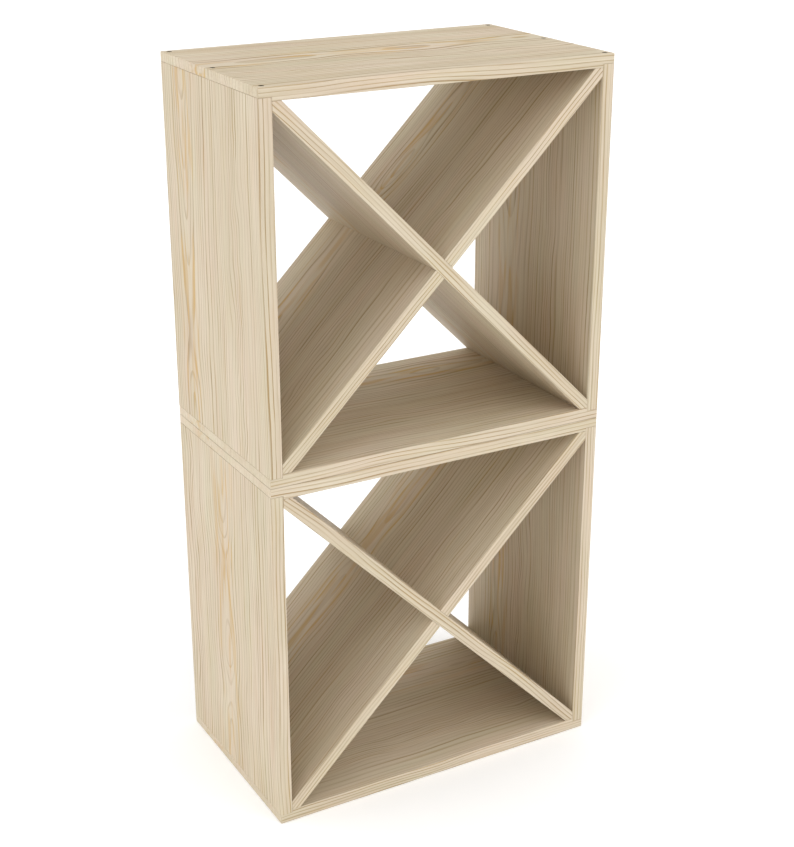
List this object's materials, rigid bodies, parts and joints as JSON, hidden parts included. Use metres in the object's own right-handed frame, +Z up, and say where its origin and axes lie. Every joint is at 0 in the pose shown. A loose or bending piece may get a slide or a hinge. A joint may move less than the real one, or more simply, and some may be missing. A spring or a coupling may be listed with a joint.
{
  "type": "wine rack",
  "caption": "Wooden wine rack of two stacked cube modules, each divided by crossed half-lapped boards into triangular bottle compartments, open at front and back.",
  "frame": {"origin": "centre of the rack's footprint, on the floor", "axes": "+Z up, +Y towards the back, +X to the right as seen from the front"},
  "size_m": [0.52, 0.31, 1.04],
  "materials": {
    "pine": "planed, untreated or clear matt oiled softwood",
    "screw_steel": "black phosphate countersunk wood screws"
  },
  "bodies": {
    "lower_module": {"lower_bottom_panel": "pine", "lower_top_panel": "pine", "lower_left_side": "pine", "lower_right_side": "pine", "lower_divider_falling": "pine", "lower_divider_rising": "pine", "lower_bottom_left_screws": "screw_steel", "lower_bottom_right_screws": "screw_steel", "lower_top_left_screws": "screw_steel", "lower_top_right_screws": "screw_steel"},
    "upper_module": {"upper_bottom_panel": "pine", "upper_top_panel": "pine", "upper_left_side": "pine", "upper_right_side": "pine", "upper_divider_falling": "pine", "upper_divider_rising": "pine", "upper_bottom_left_screws": "screw_steel", "upper_bottom_right_screws": "screw_steel", "upper_top_left_screws": "screw_steel", "upper_top_right_screws": "screw_steel"}
  },
  "joints": [
    {"name": "upper_module_lift", "type": "slide", "parent": "lower_module", "child": "upper_module", "axis": [0, 0, 1], "range_m": [0, 0.15]}
  ]
}
